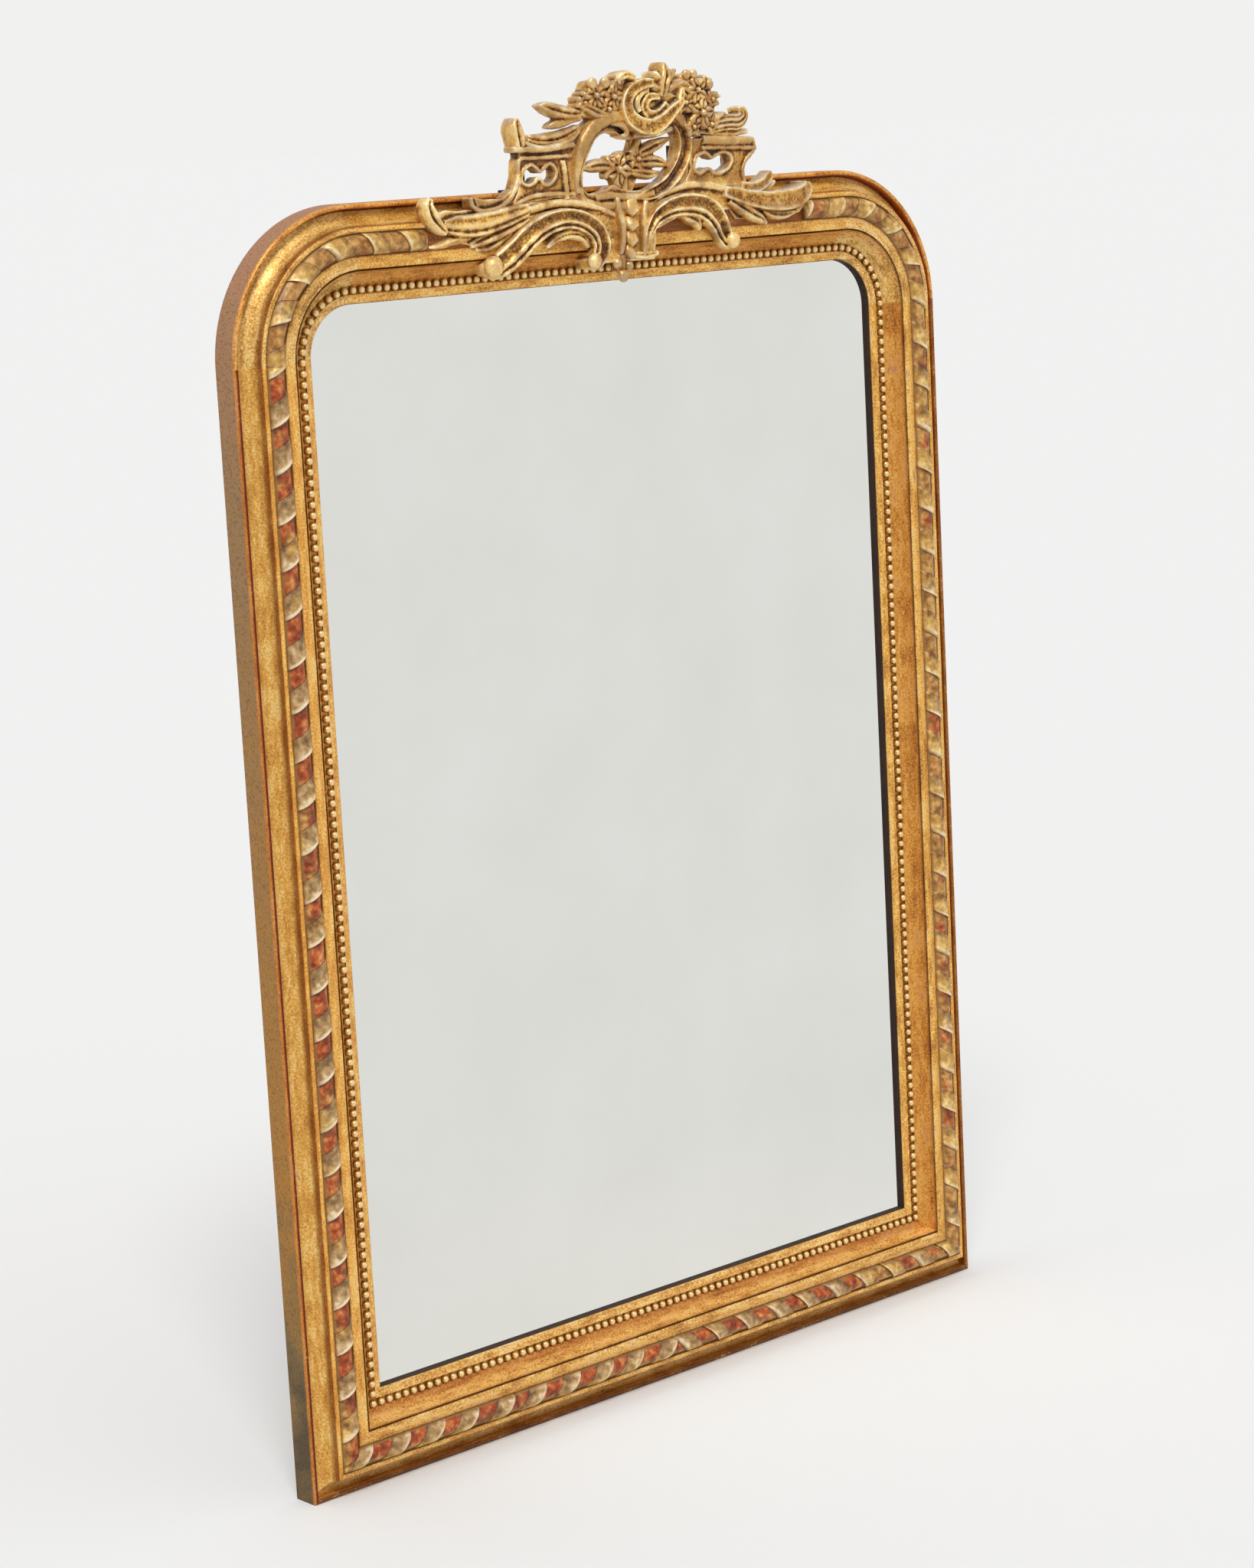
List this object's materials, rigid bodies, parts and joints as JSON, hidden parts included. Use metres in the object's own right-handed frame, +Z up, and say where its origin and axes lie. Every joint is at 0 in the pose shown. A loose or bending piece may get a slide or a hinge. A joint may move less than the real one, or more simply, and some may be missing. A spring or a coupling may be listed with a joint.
{
  "type": "wall mirror",
  "caption": "Upright wall mirror in a gilt frame with rounded top corners, a ribbon and pearl moulding, and a pierced carved crest.",
  "frame": {"origin": "middle of the flat underside that the frame stands on", "axes": "+Z up the mirror, +X to the right as seen from the front, the glass faces -Y and the back lies towards +Y"},
  "size_m": [0.938, 0.0666, 1.3681],
  "materials": {
    "water_gilding": "burnished gold leaf on bole, worn",
    "gilt_carving": "matt gold leaf on carved wood, toned in the hollows",
    "ribbon_gilding": "gold leaf rubbed to red bole and grey gesso",
    "pearl_gilding": "burnished gold leaf",
    "glass": "polished plate glass, silvered",
    "silver_coat": "red-brown backing paint",
    "pine": "aged sawn pine",
    "oak_key": "aged hardwood",
    "iron": "dark wrought iron",
    "steel_screw": "dulled steel"
  },
  "bodies": {
    "frame": {"backboard_1": "pine", "backboard_2": "pine", "backboard_3": "pine", "backboard_4": "pine", "backboard_nails": "iron", "bottom_rail": "water_gilding", "cartouche_ring": "gilt_carving", "centre_bouquet": "gilt_carving", "corner_keys": "oak_key", "crest_angles": "iron", "crest_apron": "gilt_carving", "crest_left_bracket": "gilt_carving", "crest_right_bracket": "gilt_carving", "crest_screws": "steel_screw", "drop_bud": "gilt_carving", "glazing_blocks": "pine", "hanger_screws": "steel_screw", "husk_bands": "gilt_carving", "husk_chain": "gilt_carving", "left_acanthus": "gilt_carving", "left_c_scroll": "gilt_carving", "left_flowers": "gilt_carving", "left_hanger_strap": "iron", "left_ledge_leaf": "gilt_carving", "left_pointed_leaf": "gilt_carving", "left_spur": "gilt_carving", "left_stile": "water_gilding", "left_upright_leaf": "gilt_carving", "mirror_glass": "glass", "mitre_keys": "oak_key", "pearls_bottom": "pearl_gilding", "pearls_left": "pearl_gilding", "pearls_right": "pearl_gilding", "pearls_top": "pearl_gilding", "ribbon_bottom": "ribbon_gilding", "ribbon_left": "ribbon_gilding", "ribbon_right": "ribbon_gilding", "ribbon_top_left": "ribbon_gilding", "ribbon_top_right": "ribbon_gilding", "right_acanthus": "gilt_carving", "right_c_scroll": "gilt_carving", "right_flowers": "gilt_carving", "right_hanger_strap": "iron", "right_scroll_leaf": "gilt_carving", "right_spur": "gilt_carving", "right_stile": "water_gilding", "shell_volute": "gilt_carving", "silvering": "silver_coat", "top_leaf": "gilt_carving", "top_left_corner": "water_gilding", "top_rail": "water_gilding", "top_right_corner": "water_gilding"},
    "left_ring": {"left_hanging_ring": "iron"},
    "right_ring": {"right_hanging_ring": "iron"}
  },
  "joints": [
    {"name": "left_ring_swing", "type": "hinge", "parent": "frame", "child": "left_ring", "pos_m": [-0.432, 0.0193, 1.028], "axis": [1, 0, 0], "range_deg": [0, 180]},
    {"name": "right_ring_swing", "type": "hinge", "parent": "frame", "child": "right_ring", "pos_m": [0.432, 0.0193, 1.028], "axis": [1, 0, 0], "range_deg": [0, 180]}
  ]
}
